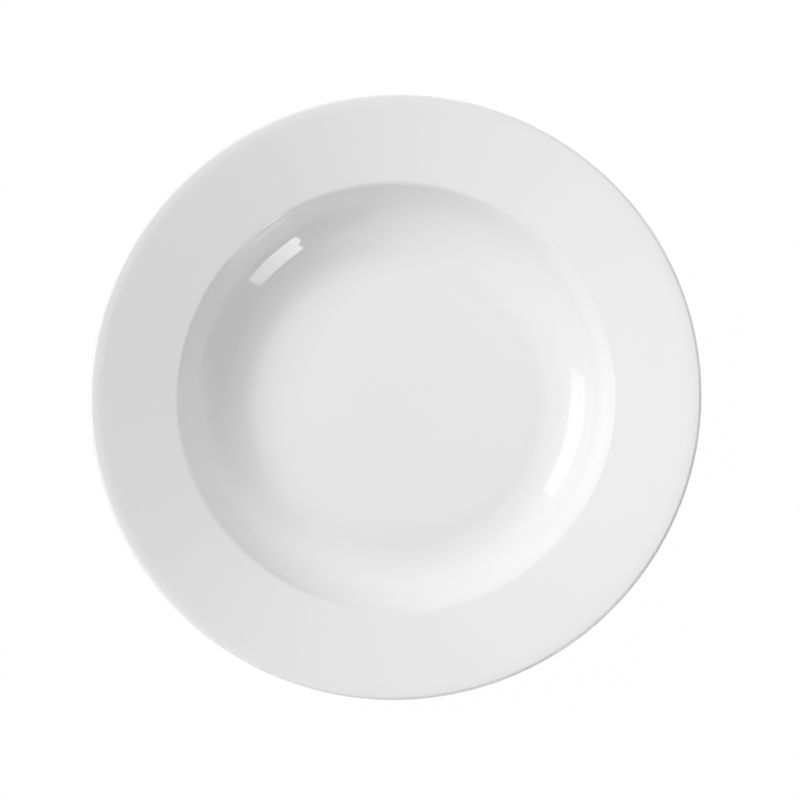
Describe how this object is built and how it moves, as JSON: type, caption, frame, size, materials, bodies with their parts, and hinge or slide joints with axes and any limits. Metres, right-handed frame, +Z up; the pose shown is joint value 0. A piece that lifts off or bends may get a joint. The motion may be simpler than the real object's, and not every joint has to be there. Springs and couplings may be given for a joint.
{
  "type": "rimmed soup plate",
  "caption": "Round soup plate in white glazed porcelain, with a wide sloping rim, a deep well with a curved wall, and a bare foot ring to stand on.",
  "frame": {"origin": "centre of the foot ring, on the table that the plate stands on", "axes": "+Z up along the axis that the plate is turned about; every direction square to it is alike"},
  "size_m": [0.23, 0.23, 0.0338],
  "materials": {
    "fired_porcelain": "matte",
    "white_glaze": "gloss"
  },
  "bodies": {
    "root": {"porcelain_body": "fired_porcelain", "glaze_main": "white_glaze", "glaze_foot_recess": "white_glaze"}
  },
  "joints": []
}
